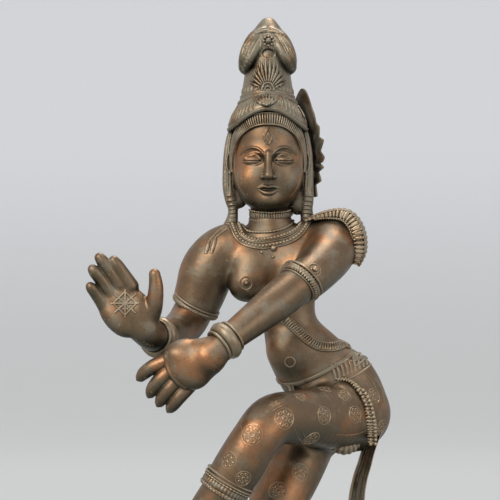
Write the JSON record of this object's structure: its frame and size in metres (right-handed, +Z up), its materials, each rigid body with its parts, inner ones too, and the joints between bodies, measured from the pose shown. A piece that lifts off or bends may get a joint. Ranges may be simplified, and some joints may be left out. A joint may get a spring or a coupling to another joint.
{
  "type": "dancing deity statue",
  "caption": "Brass dancing figure with tall crown, one leg raised across the body and both arms forward, standing on a lotus pedestal and square plinth.",
  "frame": {"origin": "centre of the plinth's resting face", "axes": "+Z up, the figure faces -Y, its left hand side is at +X"},
  "size_m": [0.1542, 0.1137, 0.3812],
  "materials": {
    "body_brass": "hand-polished over a brown patina",
    "ornament_brass": "chased, brown patina worn bright on the edges",
    "pedestal_brass": "cast, dark brown patina",
    "steel_fixing": "zinc plated"
  },
  "bodies": {
    "root": {"plinth": "pedestal_brass", "lotus_base": "pedestal_brass", "lotus_lower_petals": "pedestal_brass", "lotus_upper_petals": "pedestal_brass", "foot_stud": "steel_fixing", "stud_washer": "steel_fixing", "stud_nut": "steel_fixing", "standing_foot": "body_brass", "standing_anklet": "ornament_brass", "standing_shin": "body_brass", "standing_hem_ring": "ornament_brass", "standing_thigh": "body_brass", "raised_foot": "body_brass", "raised_anklet": "ornament_brass", "raised_shin": "body_brass", "raised_hem_ring": "ornament_brass", "raised_thigh": "body_brass", "pelvis": "body_brass", "loincloth_flap": "body_brass", "girdle": "ornament_brass", "hip_tassel": "ornament_brass", "sash_tail": "ornament_brass", "torso": "body_brass", "waist_garland": "ornament_brass", "choker": "ornament_brass", "necklace_inner": "ornament_brass", "necklace_outer": "ornament_brass", "pendant": "ornament_brass", "left_upper_arm": "body_brass", "left_armlet": "ornament_brass", "left_forearm": "body_brass", "left_bangle": "ornament_brass", "left_hand": "body_brass", "right_upper_arm": "body_brass", "right_armlet": "ornament_brass", "right_forearm": "body_brass", "right_bangle": "ornament_brass", "right_hand": "body_brass", "left_shoulder_tassel": "ornament_brass", "right_shoulder_tassel": "ornament_brass", "head": "body_brass", "left_ear_pendant": "ornament_brass", "right_ear_pendant": "ornament_brass", "headband": "ornament_brass", "crown_rim": "ornament_brass", "crown_tower": "ornament_brass", "crown_bun": "ornament_brass", "halo_plate": "pedestal_brass", "halo_pin": "ornament_brass"}
  },
  "joints": []
}
